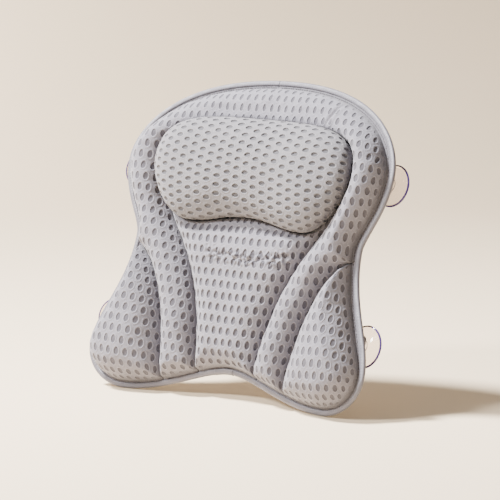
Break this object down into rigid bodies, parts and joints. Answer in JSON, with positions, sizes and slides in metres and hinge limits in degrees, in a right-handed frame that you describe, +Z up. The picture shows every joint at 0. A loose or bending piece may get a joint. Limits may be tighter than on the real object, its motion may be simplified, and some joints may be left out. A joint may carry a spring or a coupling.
{
  "type": "bath pillow",
  "caption": "Waisted bath backrest of quilted air mesh with padded side lobes, a sewn-on head pillow, a bound edge and suction cups that hold it to a bath.",
  "frame": {"origin": "on the bath wall behind the pillow, midway between the four cups; the wall touches the hindmost point of each cup", "axes": "+X to the right in a front view, +Z up, -Y out of the front towards the bather; the pillow leans back 17 degrees"},
  "size_m": [0.403, 0.1486, 0.3574],
  "materials": {
    "air_mesh": "thick grey-white spacer mesh with rows of staggered oval holes",
    "head_mesh": "the same spacer mesh with its holes turned sideways",
    "back_mesh": "fine plain spacer mesh",
    "wadding": "white polyester fibre",
    "binding_tape": "satin woven tape",
    "webbing": "flat woven webbing",
    "clear_vinyl": "clear soft vinyl with a faint violet edge"
  },
  "bodies": {
    "pillow": {"back_panel": "back_mesh", "centre_panel": "air_mesh", "centre_wadding": "wadding", "yoke_panel": "air_mesh", "yoke_wadding": "wadding", "left_lobe_panel": "air_mesh", "left_lobe_wadding": "wadding", "right_lobe_panel": "air_mesh", "right_lobe_wadding": "wadding", "head_pillow_base": "back_mesh", "head_pillow_wadding": "wadding", "head_pillow_cover": "head_mesh", "left_binding": "binding_tape", "right_binding": "binding_tape", "binding_join": "binding_tape", "upper_left_tab": "webbing", "upper_right_tab": "webbing", "lower_left_tab": "webbing", "lower_right_tab": "webbing"},
    "upper_left_suction": {"upper_left_cup": "clear_vinyl"},
    "upper_right_suction": {"upper_right_cup": "clear_vinyl"},
    "lower_left_suction": {"lower_left_cup": "clear_vinyl"},
    "lower_right_suction": {"lower_right_cup": "clear_vinyl"}
  },
  "joints": [
    {"name": "upper_left_spin", "type": "hinge", "parent": "pillow", "child": "upper_left_suction", "pos_m": [-0.176, 0.01198, 0.09045], "axis": [-0.1732, 0.9418, -0.288], "continuous": true},
    {"name": "upper_right_spin", "type": "hinge", "parent": "pillow", "child": "upper_right_suction", "pos_m": [0.176, 0.01198, 0.09045], "axis": [0.1732, 0.9418, -0.288], "continuous": true},
    {"name": "lower_left_spin", "type": "hinge", "parent": "pillow", "child": "lower_left_suction", "pos_m": [-0.176, -0.04065, -0.08168], "axis": [-0.1732, 0.9418, -0.288], "continuous": true},
    {"name": "lower_right_spin", "type": "hinge", "parent": "pillow", "child": "lower_right_suction", "pos_m": [0.176, -0.04065, -0.08168], "axis": [0.1732, 0.9418, -0.288], "continuous": true}
  ]
}
